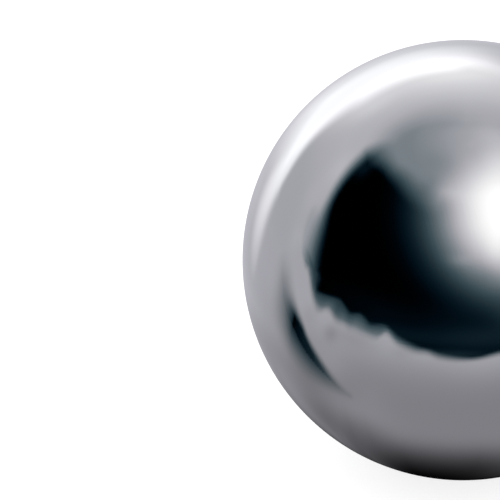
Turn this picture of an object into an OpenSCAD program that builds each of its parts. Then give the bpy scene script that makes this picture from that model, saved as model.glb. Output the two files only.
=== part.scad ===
// Polished steel ball
//
// A loose ball of through-hardened steel, ground and lapped to a true sphere
// and mirror bright all over. It is one solid piece: it has no seam, flat,
// hole, pole mark or core. The origin is the centre of the ball and +Z is up.

/* [Ball] */
// Nominal diameter of the ball, in millimetres: 25.4 is the one inch size
ball_d = 25.4; // [3:0.1:120]

/* [Quality] */
// Number of facets round the ball wherever it is drawn as a mesh
ball_facets = 180; // [24:4:360]

/* [Hidden] */

// The whole surface lies at this distance from the centre
ball_r = ball_d / 2;

// The ball, centred on the origin
module ball() {
    color("lightslategray")
        sphere(r = ball_r, $fn = ball_facets);
}

ball();
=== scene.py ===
import math

import bpy
import numpy as np
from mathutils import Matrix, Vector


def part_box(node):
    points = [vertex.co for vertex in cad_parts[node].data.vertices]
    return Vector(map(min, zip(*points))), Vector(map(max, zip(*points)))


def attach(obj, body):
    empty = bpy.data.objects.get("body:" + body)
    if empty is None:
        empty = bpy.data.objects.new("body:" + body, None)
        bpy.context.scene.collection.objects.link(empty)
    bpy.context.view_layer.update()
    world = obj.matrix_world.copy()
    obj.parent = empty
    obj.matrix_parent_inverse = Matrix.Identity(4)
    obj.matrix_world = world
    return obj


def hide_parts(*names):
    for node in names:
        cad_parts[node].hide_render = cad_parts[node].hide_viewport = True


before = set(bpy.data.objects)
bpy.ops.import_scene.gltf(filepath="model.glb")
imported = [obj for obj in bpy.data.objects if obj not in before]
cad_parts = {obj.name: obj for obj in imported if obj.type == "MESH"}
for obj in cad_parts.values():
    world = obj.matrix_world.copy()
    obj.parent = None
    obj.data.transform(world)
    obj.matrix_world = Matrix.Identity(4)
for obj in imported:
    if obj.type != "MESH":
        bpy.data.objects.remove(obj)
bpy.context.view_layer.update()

# A polished steel ball, seen from above in a photographer's light tent.
# Everything is in metres, in the frame of the CAD model, with the ball's centre at the origin.

BALL_LOW, BALL_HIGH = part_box("ball")
BALL_RADIUS = (BALL_HIGH.z - BALL_LOW.z) / 2
FLOOR_Z = BALL_LOW.z

# The camera looks down on the ball from this height above the horizon
CAMERA_ELEVATION = math.radians(30)
# Millimetres
LENS, SENSOR = 300.0, 36.0
# The nearest and the farthest that the camera sees, in ball radii
CLIP_RADII = (1, 1000)
# The frame is this many pixels wide, and the ball's outline in it is a circle
FRAME_PX = 500
BALL_CENTRE_PX = (463.0, 260.1)
BALL_RADIUS_PX = 220.6

# The tent's cloth is this many ball radii away from the ball
TENT_RADII = 40

# The room's plain light, and the floor, which glows like a light table under it: the ball's
# shadow dims only the light that falls from the room, so it stays faint
ROOM_LIGHT = 1.25
FLOOR_COLOUR = (0.4, 0.4, 0.4)
FLOOR_GLOW = 0.8
# From the ball to the floor's sides, in ball radii
FLOOR_RADII = 400


# ---------------------------------------------------------------- camera

def way_to_ball():
    """From the camera to the ball's centre: the distance, and the way right, up and forward."""
    pixels_per_slope = FRAME_PX * LENS / SENSOR
    right = (BALL_CENTRE_PX[0] - FRAME_PX / 2) / pixels_per_slope
    up = (FRAME_PX / 2 - BALL_CENTRE_PX[1]) / pixels_per_slope
    off_axis = math.hypot(right, up)
    half_width = BALL_RADIUS_PX / pixels_per_slope
    near_edge = math.atan(off_axis - half_width)
    far_edge = math.atan(off_axis + half_width)
    middle, half_angle = (far_edge + near_edge) / 2, (far_edge - near_edge) / 2
    distance = BALL_RADIUS / math.sin(half_angle)
    to_right = math.sin(middle) * right / off_axis
    to_up = math.sin(middle) * up / off_axis
    return distance, to_right, to_up, math.cos(middle)


def make_camera():
    """Stands the camera where the ball's outline falls at its place in the frame."""
    distance, to_right, to_up, forward = way_to_ball()
    yaw = math.asin(to_right / math.cos(CAMERA_ELEVATION))
    level_part = math.cos(CAMERA_ELEVATION) * math.cos(yaw)
    pitch = math.atan2(math.sin(CAMERA_ELEVATION), level_part) + math.atan2(to_up, forward)

    data = bpy.data.cameras.new("camera")
    data.lens, data.sensor_width = LENS, SENSOR
    data.clip_start, data.clip_end = [radii * BALL_RADIUS for radii in CLIP_RADII]
    camera = bpy.data.objects.new("camera", data)
    back, rise = distance * math.cos(CAMERA_ELEVATION), distance * math.sin(CAMERA_ELEVATION)
    camera.location = (0, -back, rise)
    camera.rotation_euler = (math.pi / 2 - pitch, 0, yaw)
    bpy.context.scene.collection.objects.link(camera)
    bpy.context.scene.camera = camera


# ---------------------------------------------------------------- meshes and nodes

def new_object(name, points, faces):
    """A mesh object of those points and faces."""
    mesh = bpy.data.meshes.new(name)
    mesh.from_pydata(points, [], faces)
    mesh.validate()
    made = bpy.data.objects.new(name, mesh)
    bpy.context.scene.collection.objects.link(made)
    return made


def new_material(name):
    """An empty node material, with its node tree and its output node."""
    material = bpy.data.materials.new(name)
    material.use_nodes = True
    material.node_tree.nodes.clear()
    output = material.node_tree.nodes.new("ShaderNodeOutputMaterial")
    return material, material.node_tree, output


def node(tree, kind, **settings):
    """A new node, with its attributes and its numbered or named input sockets set."""
    made = tree.nodes.new(kind)
    for key, value in settings.items():
        if key == "inputs":
            for socket, number in value.items():
                made.inputs[socket].default_value = number
        else:
            setattr(made, key, value)
    return made


# ---------------------------------------------------------------- the ball

# Squares along each side of the cube that is blown up into the ball
BALL_SQUARES = 72
# Points of its sides that agree to this many decimals of a metre are one point
WELD_DECIMALS = 9

# The greys that the steel drifts between, and how many such patches there are in a metre
COOL_GREY, WARM_GREY = (0.594, 0.598, 0.604, 1), (0.606, 0.602, 0.598, 1)
GREY_PATCHES = 220.0
# The roughness where the haze is thinnest and thickest, and how many specks of it in a metre
CLEAR_ROUGHNESS, HAZY_ROUGHNESS = 0.03, 0.05
HAZE_SPECKS = 900.0
# The hairlines that lapping leaves, in metres: how far apart, how long, and how deep at most
HAIRLINE_GAP, HAIRLINE_LENGTH, HAIRLINE_DEPTH = 0.00016, 0.004, 0.000001
# The ways that they run round the ball, as turns about X, Y and Z in degrees
HAIRLINE_WAYS = [(0, 0, 0), (70, 20, 0), (25, 80, 40)]


def ball_points():
    """The six sides of a cube blown up to the ball's radius, and their squares."""
    turns = np.linspace(-math.pi / 4, math.pi / 4, BALL_SQUARES + 1)
    across, along = np.meshgrid(np.tan(turns), np.tan(turns))
    ones = np.ones_like(across)
    sides = [
        (ones, across, along), (-ones, -across, along),
        (-across, ones, along), (across, -ones, along),
        (-along, across, ones), (along, across, -ones),
    ]
    points = np.concatenate([np.stack(side, -1).reshape(-1, 3) for side in sides])
    points *= BALL_RADIUS / np.linalg.norm(points, axis=1, keepdims=True)
    corner = np.arange(BALL_SQUARES)
    first = (corner[:, None] * (BALL_SQUARES + 1) + corner).ravel()
    square = np.stack([first, first + 1, first + BALL_SQUARES + 2, first + BALL_SQUARES + 1], 1)
    side_points = (BALL_SQUARES + 1) ** 2
    return points, np.concatenate([square + side * side_points for side in range(6)])


def make_ball():
    """The ball, as even all over as a lapped one: no poles, no seam and no flat."""
    points, squares = ball_points()
    places, same = np.unique(np.round(points, WELD_DECIMALS), axis=0, return_inverse=True)
    places *= BALL_RADIUS / np.linalg.norm(places, axis=1, keepdims=True)
    ball = new_object("polished_ball", places.tolist(), same.ravel()[squares].tolist())
    mesh = ball.data
    mesh.polygons.foreach_set("use_smooth", [True] * len(mesh.polygons))
    mesh.normals_split_custom_set_from_vertices((places / BALL_RADIUS).tolist())
    mesh.materials.append(polished_steel())
    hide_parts("ball")
    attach(ball, "root")


def polished_steel():
    """Bare hardened steel, lapped to a mirror: hairlines and a faint haze are all that is left."""
    material, tree, output = new_material("polished_steel")
    steel = node(tree, "ShaderNodeBsdfPrincipled", inputs={"Metallic": 1.0})
    place = node(tree, "ShaderNodeTexCoord")

    # Slow patches of slightly warmer and cooler grey, a few millimetres across
    drift = node(tree, "ShaderNodeTexNoise", inputs={"Scale": GREY_PATCHES, "Detail": 3.0})
    grey = node(tree, "ShaderNodeValToRGB")
    grey.color_ramp.elements[0].color = COOL_GREY
    grey.color_ramp.elements[1].color = WARM_GREY
    tree.links.new(place.outputs["Object"], drift.inputs["Vector"])
    tree.links.new(drift.outputs["Fac"], grey.inputs["Fac"])
    tree.links.new(grey.outputs["Color"], steel.inputs["Base Color"])

    # Haze from handling, finer than the patches
    haze = node(tree, "ShaderNodeTexNoise", inputs={"Scale": HAZE_SPECKS, "Detail": 4.0})
    rough = node(tree, "ShaderNodeMapRange", inputs={
        "To Min": CLEAR_ROUGHNESS, "To Max": HAZY_ROUGHNESS,
    })
    tree.links.new(place.outputs["Object"], haze.inputs["Vector"])
    tree.links.new(haze.outputs["Fac"], rough.inputs["Value"])
    tree.links.new(rough.outputs["Result"], steel.inputs["Roughness"])

    bump = node(tree, "ShaderNodeBump", inputs={"Distance": HAIRLINE_DEPTH})
    tree.links.new(hairlines(tree, place), bump.inputs["Height"])
    tree.links.new(bump.outputs["Normal"], steel.inputs["Normal"])

    tree.links.new(steel.outputs["BSDF"], output.inputs["Surface"])
    return material


def hairlines(tree, place):
    """The height of fine lines that cross one another: noise drawn out along each way, averaged."""
    total = None
    for turns in HAIRLINE_WAYS:
        way = node(tree, "ShaderNodeMapping", vector_type="TEXTURE", inputs={
            "Rotation": [math.radians(turned) for turned in turns],
            "Scale": (HAIRLINE_LENGTH, HAIRLINE_LENGTH, HAIRLINE_GAP),
        })
        lines = node(tree, "ShaderNodeTexNoise", inputs={"Scale": 1.0, "Detail": 1.0})
        tree.links.new(place.outputs["Object"], way.inputs["Vector"])
        tree.links.new(way.outputs["Vector"], lines.inputs["Vector"])
        share = node(tree, "ShaderNodeMath", operation="DIVIDE", inputs={1: len(HAIRLINE_WAYS)})
        tree.links.new(lines.outputs["Fac"], share.inputs[0])
        if total is None:
            total = share.outputs["Value"]
        else:
            added = node(tree, "ShaderNodeMath", operation="ADD")
            tree.links.new(total, added.inputs[0])
            tree.links.new(share.outputs["Value"], added.inputs[1])
            total = added.outputs["Value"]
    return total


# ---------------------------------------------------------------- shapes seen from the ball

# Directions are an azimuth and an elevation in degrees, seen from the centre of the ball.
# Azimuth 0 is towards the camera and grows to the right; elevation is above the horizon.

# Points on a rounded line for each row of the outline that it follows
POINTS_A_ROW = 6
# Added to a length that may be nothing, so that it can be divided by
TINY = 1e-9


def hump(x, centre, width):
    """A soft hump, 1 at its centre."""
    return np.exp(-(((x - centre) / width) ** 2))


def step(x, edge, width):
    """0 below an edge and 1 above it, soft over that width."""
    t = np.clip((x - edge) / width + 0.5, 0, 1)
    return t * t * (3 - 2 * t)


def turn(azimuth, centre):
    """How far round from centre an azimuth is, from -180 to 180."""
    return (azimuth - centre + 180) % 360 - 180


def follow(x, rows, column=1):
    """The value at x on the straight lines that join the rows."""
    rows = np.array(rows, float)
    return np.interp(x, rows[:, 0], rows[:, column])


def rounded(rows, closed):
    """A smooth line through the rows, with a few points from each row to the next."""
    rows = np.array(rows, float)
    if closed:
        before, after, last = np.roll(rows, 1, 0), np.roll(rows, -1, 0), np.roll(rows, -2, 0)
    else:
        before = np.vstack([2 * rows[0] - rows[1], rows[:-2]])
        after = rows[1:]
        last = np.vstack([rows[2:], 2 * rows[-1] - rows[-2]])
        rows = rows[:-1]
    parts = []
    for t in np.arange(POINTS_A_ROW) / POINTS_A_ROW:
        bend = 2 * before - 5 * rows + 4 * after - last + t * (3 * (rows - after) + last - before)
        parts.append(rows + 0.5 * t * (after - before + t * bend))
    line = np.stack(parts, 1).reshape(-1, rows.shape[1])
    return line if closed else np.vstack([line, after[-1]])


def height_of(azimuth, rows):
    """The elevation of an edge of (azimuth, elevation) rows."""
    return follow(azimuth, rounded(rows, False))


def inside(azimuth, elevation, rows, centre):
    """1 inside a closed outline of (azimuth, elevation, softness) rows, and 0 outside it."""
    x, y = turn(azimuth, centre), elevation
    narrowing = np.cos(np.radians(y))
    nearest, soft = np.full(x.shape, np.inf), np.ones(x.shape)
    within = np.zeros(x.shape, bool)
    line = rounded(rows, True) - (centre, 0, 0)
    for start, end in zip(line, np.roll(line, -1, 0)):
        side = ((end[0] - start[0]) * narrowing, end[1] - start[1])
        reach = ((x - start[0]) * narrowing, y - start[1])
        length = side[0] ** 2 + side[1] ** 2 + TINY
        t = np.clip((reach[0] * side[0] + reach[1] * side[1]) / length, 0, 1)
        gap = np.hypot(reach[0] - t * side[0], reach[1] - t * side[1])
        soft = np.where(gap < nearest, start[2] + t * (end[2] - start[2]), soft)
        nearest = np.minimum(gap, nearest)
        crossed = (start[1] > y) != (end[1] > y)
        rise = end[1] - start[1] + TINY
        within ^= crossed & (x < start[0] + (y - start[1]) * (end[0] - start[0]) / rise)
    return step(np.where(within, nearest, -nearest), 0, soft)


def angle_from(azimuth, elevation, centre):
    """The angle between a direction and a centre of (azimuth, elevation)."""
    a, e = np.radians(azimuth - centre[0]), np.radians(elevation)
    ce = math.radians(centre[1])
    return np.degrees(np.arccos(np.sin(e) * math.sin(ce) + np.cos(e) * math.cos(ce) * np.cos(a)))


# ---------------------------------------------------------------- the light tent

# Where the tent's wall meets its roof: azimuth, elevation, and how many degrees down the wall
# its shade goes
SEAM = [
    (-180, 76, 24), (-145, 72, 23), (-117, 62, 18), (-96, 58, 16), (-60, 58, 16),
    (60, 58, 16), (96, 58, 16), (117, 62, 18), (145, 72, 23), (180, 76, 24),
]
SEAM_SOFTNESS = 6
# The shade down the wall, from the seam to the end of its reach: share, brightness
SEAM_SHADE = [(0, 0.56), (0.2, 0.62), (0.75, 0.93), (1, 1)]
# The wall's and the roof's own brightness: elevation, brightness
WALL = [(0, 0.59), (12, 0.60), (34, 0.69)]
ROOF = [(66, 0.36), (90, 0.56)]
# The wall is brighter behind the ball: by what share, over what half width, and the elevation
# and softness of where that starts
REAR_LIFT, REAR_HALF_WIDTH = 0.28, 40
REAR_FOOT = (20, 20)
# Soft light and shade on the cloth: azimuth, elevation, half width, half height, brightness
CLOTH_PATCHES = [
    (-174, 37, 24, 12, 0.40), (-138, 25, 7, 12, 0.13), (-144, 36, 11, 7, 0.14), (-104, 33, 8, 8, 0.07),
    (-102, 16, 7, 8, 0.04), (-97, 2, 6, 6, 0.05), (-16, 63, 12, 5, 0.09), (-40, 63, 10, 6, -0.06),
    (180, 80, 60, 8, 0.08), (-135, 68, 25, 5, 0.03), (-44, 76, 45, 7, -0.08), (68, 72, 32, 9, 0.22),
    (118, 73, 46, 11, 0.28),
]

# The open front of the tent, through which a dark room shows: azimuth, elevation, softness
OPENING = [
    (-102, 51, 17), (-105, 46, 13), (-103, 43, 12), (-92.5, 25, 9), (-87, 13, 15), (-83, -1, 17),
    (-78, -6, 12), (-74, -20, 6), (20, -30, 6), (80, -22, 12), (86, 2, 18), (95, 30, 11),
    (99, 42, 12), (96, 49, 15), (80, 54, 17), (40, 55, 20), (-12, 57, 16), (-24, 55.5, 18),
    (-36, 56.5, 20), (-63, 58, 16), (-81, 56, 12), (-90, 54.5, 13), (-96, 53, 16),
]
# How steeply the cloth's light falls away into the opening
OPENING_FALLOFF = 1.5

# A soft light in front of the ball: the azimuth and elevation of its middle, how bright it is
# there, how many degrees out it reaches, and how steeply it ends
KEY_CENTRE = (35, 49)
KEY_BRIGHTNESS, KEY_REACH, KEY_FALLOFF = 1.8, 27, 2.5
# The unevenness of the key light's lower edge, as for the cloth
KEY_PATCHES = [(-1, 30, 7, 3, 0.09), (20, 33, 6, 9, 0.12), (15, 24, 8, 6, -0.06)]
# How hard the brighter of cloth and key light wins where they meet: 1 would add them
MEETING_POWER = 1.3
# What little light there is in the dark room, as for the cloth
ROOM_GLOW = [
    (10, -8, 22, 4.5, 0.017), (5, -1, 25, 9, 0.005), (-26, -9, 20, 3, 0.008), (30, 2, 11, 8, 0.04),
    (-2, -13.5, 14, 1.2, 0.02), (-38, -3, 20, 6, 0.003), (-95, 44, 5, 4, 0.01),
]

# A fold in the cloth at the left of the opening: azimuth, elevation, softness
FOLD = [(-98, 15, 4), (-91.5, 1, 2.5), (-84, -3, 4), (-91, 15, 6)]
# The share of the light that the fold takes away
FOLD_SHADE = 0.12

# The strip light bent round behind the ball: azimuth, elevation, softness
STRIP = [
    (-195, 32, 14), (-180, 31, 12), (-172, 33, 12), (-148, 29, 14), (-142, 23, 14),
    (-129.5, 5.5, 6), (-126.5, -1.5, 6), (-117, -12, 5), (-118, -18.5, 8), (-138, -5, 14),
    (-150, -4.5, 18), (-156, -5.5, 20), (-164, -3, 28), (-189, 12, 36),
]
STRIP_CENTRE = -150
# How bright the strip is from its tail behind the ball to its tip at the left: azimuth from its
# centre, brightness
STRIP_FADE = [(-60, 0), (-38, 0.28), (-29, 0.7), (-22, 0.85), (13, 1), (30, 0.25), (36, 0.06), (42, 0)]
# Stray light on the card, under the strip and far in under the ball, as for the cloth
STRAY_LIGHT = [(-142, -11, 17, 6, 0.10), (30, -61, 22, 7, 0.02)]

# A dark streak painted across the card's light at its left: azimuth, elevation, softness
DARK_STREAK = [
    (-100, -7, 8), (-93, -8.5, 8), (-87, -12, 7), (-75, -18, 3), (-69, -22, 3),
    (-52, -31.5, 4), (-47, -34, 4), (-72, -29.5, 12), (-91, -20, 14),
]
DARK_STREAK_CENTRE = -75
# How much of the light the dark streak takes away: azimuth, share
DARK_STREAK_DEPTH = [(-99, 0.15), (-87, 0.6), (-80, 1), (-66, 0.95), (-60, 0.85), (-48, 0.3)]

# The front edge of the card: azimuth, elevation, softness
CARD_EDGE = [
    (-100, 5, 3), (-90, -0.5, 3), (-86, -2, 3), (-82, -3, 3), (-70, -11, 4.5), (-64, -9.5, 3.5),
    (-58, -11.5, 4), (-54, -11.5, 3.5), (-51, -12, 4), (-48, -12, 4), (-38, -12.5, 3.5),
    (-33.5, -10, 3), (-28, -12.5, 3.5), (-20, -14, 4), (-14, -14, 4), (-9, -15, 4),
    (-2, -15.5, 3.5), (5, -15.5, 2.5), (10, -15, 2.5), (16, -14, 3), (21, -13.5, 3),
    (35, -12, 3), (75, -6, 6), (95, -3, 10),
]
# The left and the right end of that edge, as azimuth and softness, and the edge where the card
# meets the cloth elsewhere, as elevation and softness
CARD_LEFT, CARD_RIGHT = (-96, 8), (98, 10)
CARD_REAR = (-5, 8)
# The top of the sheer cloth gathered along the card: azimuth, elevation, and how much brighter
# it is at its foot than at its top
SHEER_EDGE = [
    (-100, 5, 0.1), (-86, 3, 0.1), (-76, -4, 0.2), (-73, -6, 0.2), (-66, -5, 0.26),
    (-63, -4.5, 0.2), (-60, -4.5, 0.13), (-56, -6, 0.25), (-53, -7, 0.22), (-49, -6, 0.3),
    (-46, -6.5, 0.3), (-42, -8, 0.32), (-35, -7, 0.3), (-27, -10, 0.2), (-15, -13, 0.06),
    (-9, -15.5, 0.02), (0, -17, 0),
]
# Its brightness and softness at the top, how steeply it brightens towards its foot, and the
# least height that it is taken to have, in degrees
SHEER_LIGHT, SHEER_SOFTNESS, SHEER_RISE = 0.05, 1.6, 1.3
SHEER_LEAST_HEIGHT = 1

# The card's brightness in front and at the side: near the ball, how much is added farther out,
# how many ball radii out half of that is reached, and over how many radii it comes in
CARD_FRONT = (0.345, 0.255, 2.9, 2.8)
CARD_SIDE = (0.42, 0.17, 1.75, 0.8)
# Where that side is: azimuth, half width
CARD_SIDE_MIDDLE, CARD_SIDE_HALF_WIDTH = -125, 45
# The ball's shadow on the card: azimuth, how many radii it reaches out, and how steeply it ends
BALL_SHADOW = [
    (-100, 0.92, 3), (-70, 0.65, 6), (-60, 0.69, 5), (-50, 0.85, 3), (-40, 0.94, 4),
    (-25, 0.93, 7), (10, 0.93, 7), (26, 0.88, 6), (100, 0.92, 3),
]
# The distance out on the card is worked out no nearer than this to level or to straight down,
# in degrees
CARD_MARGIN = 0.5
# Soft light and shade on the card, as for the cloth, but as a share of its own brightness
CARD_PATCHES = [
    (-64, -48.5, 20, 11, -0.43), (-48, -14.5, 13, 3.5, -0.18), (-59, -16.5, 3.5, 3, -0.18),
    (-25, -15, 5, 2.5, -0.10), (-45, -38.5, 16, 4.5, 0.15), (-57, -26, 9, 6, 0.15),
    (8, -19, 14, 5, 0.07), (-70, -33.5, 12, 4.5, -0.13), (-72, -14, 5, 3, -0.10),
    (-36, -32, 8, 4, 0.06),
]

# The colour of the tent's light: brightness, and red and blue there as shares of green
TENT_TINT = [
    (0, 0.1, 2.0), (0.02, 0.35, 1.5), (0.05, 0.52, 1.28), (0.2, 0.75, 1.12), (0.45, 0.93, 1.09),
    (0.65, 1, 1.08), (1.5, 1, 1),
]
# The card's red, green and blue as shares of its brightness
CARD_TINT = (1.01, 1.0, 1.10)

# The tent's mesh, closest where its light changes fastest: from, to and step, in degrees
AZIMUTH_STEPS = [(-180, -104, 1.5), (-104, 24, 0.5), (24, 180, 1.5)]
ELEVATION_STEPS = [(-89, -36, 1.25), (-36, 4, 0.5), (4, 66, 1.0), (66, 90, 2.0)]


def patches(azimuth, elevation, rows):
    """Soft patches of light and shade, added up."""
    total = np.zeros(azimuth.shape)
    for middle, height, half_width, half_height, brightness in rows:
        across = hump(turn(azimuth, middle), 0, half_width)
        total += brightness * across * hump(elevation, height, half_height)
    return total


def cloth(azimuth, elevation):
    """White cloth: a wall, shaded under its seam, and a dimmer roof."""
    seam, reach = height_of(azimuth, SEAM), follow(azimuth, SEAM, 2)
    wall = follow(elevation, WALL) * follow((seam - elevation) / reach, SEAM_SHADE)
    behind = hump(turn(azimuth, 180), 0, REAR_HALF_WIDTH) * step(elevation, *REAR_FOOT)
    wall *= 1 + REAR_LIFT * behind
    over = step(elevation, seam, SEAM_SOFTNESS)
    plain = wall * (1 - over) + follow(elevation, ROOF) * over
    return plain + patches(azimuth, elevation, CLOTH_PATCHES)


def key_light(azimuth, elevation):
    """A soft light in front of the ball, above and to the right of the camera."""
    angle = angle_from(azimuth, elevation, KEY_CENTRE)
    glow = KEY_BRIGHTNESS * np.exp(-((angle / KEY_REACH) ** KEY_FALLOFF))
    return np.maximum(glow + patches(azimuth, elevation, KEY_PATCHES), 0)


def strip_light(azimuth, elevation):
    """A long light bent round behind the ball, with the light that strays onto the card."""
    fade = follow(turn(azimuth, STRIP_CENTRE), STRIP_FADE)
    strip = fade * inside(azimuth, elevation, STRIP, STRIP_CENTRE)
    return strip + patches(azimuth, elevation, STRAY_LIGHT)


def card_light(radii_out, near, added, middle, width):
    """The card's brightness by how far from the ball it is."""
    return near + added * step(radii_out, middle, width)


def card(azimuth, elevation):
    """The pale card under the ball as painted light, with the ball's own soft shadow painted on it."""
    radii_out = 1 / np.tan(np.radians(np.clip(-elevation, CARD_MARGIN, 90 - CARD_MARGIN)))
    front, side = card_light(radii_out, *CARD_FRONT), card_light(radii_out, *CARD_SIDE)
    at_side = hump(turn(azimuth, CARD_SIDE_MIDDLE), 0, CARD_SIDE_HALF_WIDTH)
    reach, steepness = follow(azimuth, BALL_SHADOW), follow(azimuth, BALL_SHADOW, 2)
    lit = 1 - np.exp(-((radii_out / reach) ** steepness))
    shaded = 1 + patches(azimuth, elevation, CARD_PATCHES)
    return (front * (1 - at_side) + side * at_side) * shaded * lit


def card_cover(azimuth, elevation):
    """1 where the card is seen: up to its edge in front, and up to the cloth behind."""
    front = step(azimuth, *CARD_LEFT) * (1 - step(azimuth, *CARD_RIGHT))
    in_front = 1 - step(elevation, height_of(azimuth, CARD_EDGE), follow(azimuth, CARD_EDGE, 2))
    behind = 1 - step(elevation, *CARD_REAR)
    return in_front * front + behind * (1 - front)


def sheer_cloth(azimuth, elevation):
    """How much of the dark opening the sheer cloth covers, and how bright it is there."""
    top, bottom = height_of(azimuth, SHEER_EDGE), height_of(azimuth, CARD_EDGE)
    height = np.maximum(top - bottom, SHEER_LEAST_HEIGHT)
    depth = np.clip((top - elevation) / height, 0, 1)
    light = SHEER_LIGHT + follow(azimuth, SHEER_EDGE, 2) * depth ** SHEER_RISE
    return 1 - step(elevation, top, SHEER_SOFTNESS), light


def tent_light(azimuth, elevation, opening):
    """The cloth with its fold, the key light, and the dark room that shows in the opening."""
    tent = cloth(azimuth, elevation) * (1 - opening) ** OPENING_FALLOFF
    tent *= 1 - FOLD_SHADE * inside(azimuth, elevation, FOLD, 0)
    key = key_light(azimuth, elevation)
    light = (tent ** MEETING_POWER + key ** MEETING_POWER) ** (1 / MEETING_POWER)
    return light + patches(azimuth, elevation, ROOM_GLOW) * opening


def tinted(light, on_card):
    """Light in the card's colour where the card is seen, and in the tent's elsewhere."""
    shares = [follow(light, TENT_TINT), np.ones_like(light), follow(light, TENT_TINT, 2)]
    return np.stack([
        light * (tent_share * (1 - on_card) + card_share * on_card)
        for tent_share, card_share in zip(shares, CARD_TINT)
    ], -1)


def studio(azimuth, elevation):
    """The light that reaches the ball from each direction, as red, green and blue."""
    opening = inside(azimuth, elevation, OPENING, 0)
    light = tent_light(azimuth, elevation, opening)
    sheer, sheer_light = sheer_cloth(azimuth, elevation)
    sheer = sheer * opening
    light = light * (1 - sheer) + sheer_light * sheer
    on_card = card_cover(azimuth, elevation)
    light = light * (1 - on_card) + card(azimuth, elevation) * on_card
    # The dark streak painted across the card's light
    gap = inside(azimuth, elevation, DARK_STREAK, DARK_STREAK_CENTRE) * follow(azimuth, DARK_STREAK_DEPTH)
    colour = tinted(light * (1 - gap), on_card * (1 - gap))
    return colour + strip_light(azimuth, elevation)[..., None]


def tent_grid():
    """The azimuth and the elevation of each point of the tent's mesh."""
    azimuths = np.concatenate([np.arange(*steps) for steps in AZIMUTH_STEPS])
    elevations = np.concatenate([np.arange(*steps) for steps in ELEVATION_STEPS])
    return np.meshgrid(azimuths, elevations)


def tent_points(azimuth, elevation):
    """The mesh's points: on the floor's plane where that is nearer than the cloth."""
    a, e = np.radians(azimuth), np.radians(elevation)
    ways = np.stack([np.sin(a) * np.cos(e), -np.cos(a) * np.cos(e), np.sin(e)], -1)
    away = np.full(azimuth.shape, TENT_RADII * BALL_RADIUS)
    down = ways[..., 2] < -1 / TENT_RADII
    away[down] = FLOOR_Z / ways[..., 2][down]
    return (ways * away[..., None]).reshape(-1, 3).tolist()


def tent_faces(rows, columns):
    """Squares between the mesh's points, and one face to close it at its foot and at its top."""
    here = np.arange(rows * columns).reshape(rows, columns)
    beside = np.roll(here, -1, 1)
    squares = np.stack([here[:-1], beside[:-1], beside[1:], here[1:]], -1).reshape(-1, 4)
    return squares.tolist() + [here[0][::-1].tolist(), here[-1].tolist()]


def make_tent():
    """The tent, its card and its lights as one shell, which only the ball's reflections see."""
    azimuth, elevation = tent_grid()
    tent = new_object("light_tent", tent_points(azimuth, elevation), tent_faces(*azimuth.shape))
    light = studio(azimuth, elevation).reshape(-1, 3)
    colours = np.column_stack([light, np.ones(len(light))]).astype(np.float32)
    glow = tent.data.attributes.new("glow", "FLOAT_COLOR", "POINT")
    glow.data.foreach_set("color", colours.ravel())
    tent.data.materials.append(glowing_cloth())
    tent.visible_camera = tent.visible_diffuse = tent.visible_shadow = False
    tent.visible_transmission = tent.visible_volume_scatter = False


def glowing_cloth():
    """Gives off the light that is stored at the tent's points."""
    material, tree, output = new_material("glowing_cloth")
    stored = node(tree, "ShaderNodeAttribute", attribute_name="glow")
    light = node(tree, "ShaderNodeEmission")
    tree.links.new(stored.outputs["Color"], light.inputs["Color"])
    tree.links.new(light.outputs["Emission"], output.inputs["Surface"])
    material.cycles.emission_sampling = "NONE"
    return material


# ---------------------------------------------------------------- floor and room

def make_floor():
    """A plain pale floor, which the ball's reflections don't see."""
    half = FLOOR_RADII * BALL_RADIUS
    corners = [(x * half, y * half, FLOOR_Z) for x, y in ((-1, -1), (1, -1), (1, 1), (-1, 1))]
    floor = new_object("floor", corners, [(0, 1, 2, 3)])
    material, tree, output = new_material("pale_floor")
    paper = node(tree, "ShaderNodeBsdfDiffuse", inputs={"Color": (*FLOOR_COLOUR, 1)})
    glow = node(tree, "ShaderNodeEmission", inputs={"Strength": FLOOR_GLOW})
    both = node(tree, "ShaderNodeAddShader")
    tree.links.new(paper.outputs["BSDF"], both.inputs[0])
    tree.links.new(glow.outputs["Emission"], both.inputs[1])
    tree.links.new(both.outputs["Shader"], output.inputs["Surface"])
    material.cycles.emission_sampling = "NONE"
    floor.data.materials.append(material)
    floor.visible_glossy = False


def light_room():
    """Plain soft light from all round, for the floor."""
    world = bpy.data.worlds.new("room")
    bpy.context.scene.world = world
    world.use_nodes = True
    world.node_tree.nodes["Background"].inputs["Color"].default_value = (1, 1, 1, 1)
    world.node_tree.nodes["Background"].inputs["Strength"].default_value = ROOM_LIGHT
    world.cycles_visibility.glossy = False
    bpy.context.scene.view_settings.view_transform = "Standard"


make_camera()
make_ball()
make_tent()
make_floor()
light_room()
